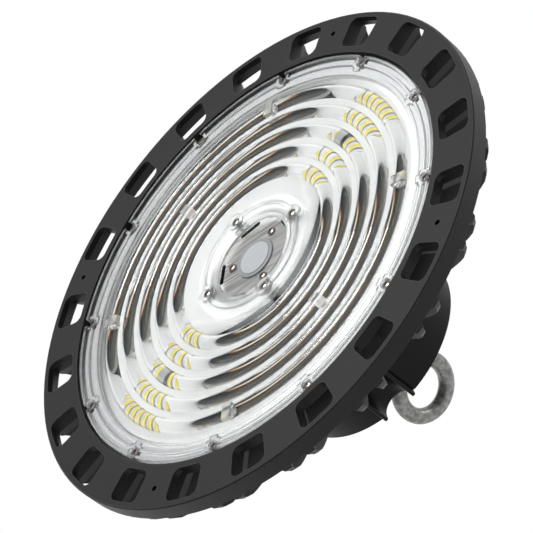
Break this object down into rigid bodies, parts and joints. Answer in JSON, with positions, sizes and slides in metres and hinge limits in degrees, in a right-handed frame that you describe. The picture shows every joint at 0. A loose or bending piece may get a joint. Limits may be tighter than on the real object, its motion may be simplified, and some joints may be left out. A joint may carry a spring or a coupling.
{
  "type": "high bay light",
  "caption": "Round suspended high bay light: finned heat sink with windowed rim, clear ring-lens plate over an LED board, sensor centre, driver drum and lifting eye.",
  "frame": {"origin": "centre of the rim's face plane on the light's axis, which is the lowest plane", "axes": "+Z along the axis from the light-giving face towards the lifting eye; +X through one of the four small rim holes"},
  "size_m": [0.33, 0.33, 0.1784],
  "materials": {
    "powder_coat": "matt black powder coat on cast aluminium",
    "clear_lens": "clear moulded polycarbonate",
    "silicone": "grey silicone",
    "screw_steel": "bright stainless steel",
    "board_white": "white solder mask",
    "led_phosphor": "yellow phosphor in a white frame",
    "connector_grey": "moulded nylon",
    "brushed_plate": "brushed",
    "frosted_cap": "frosted translucent plastic",
    "module_black": "moulded plastic",
    "driver_case": "potted plastic case",
    "plated_steel": "zinc plated forged steel",
    "gland_black": "moulded nylon"
  },
  "bodies": {
    "root": {"heat_sink": "powder_coat", "driver_housing": "powder_coat", "lens": "clear_lens", "lens_outer_gasket": "silicone", "lens_inner_gasket": "silicone", "housing_gasket": "silicone", "lens_outer_screws": "screw_steel", "lens_inner_screws": "screw_steel", "board_screws": "screw_steel", "centre_plate_screws": "screw_steel", "housing_screws": "screw_steel", "driver_screws": "screw_steel", "led_board": "board_white", "led_ring_1": "led_phosphor", "led_ring_2": "led_phosphor", "led_ring_3": "led_phosphor", "led_ring_4": "led_phosphor", "led_ring_5": "led_phosphor", "board_connectors": "connector_grey", "centre_plate": "brushed_plate", "sensor_cap": "frosted_cap", "sensor_module": "module_black", "led_driver": "driver_case", "eye_bolt": "plated_steel", "eye_bolt_washer": "plated_steel", "gland_body": "gland_black", "gland_nut": "gland_black", "gland_locknut": "gland_black", "gland_seal": "silicone"}
  },
  "joints": []
}
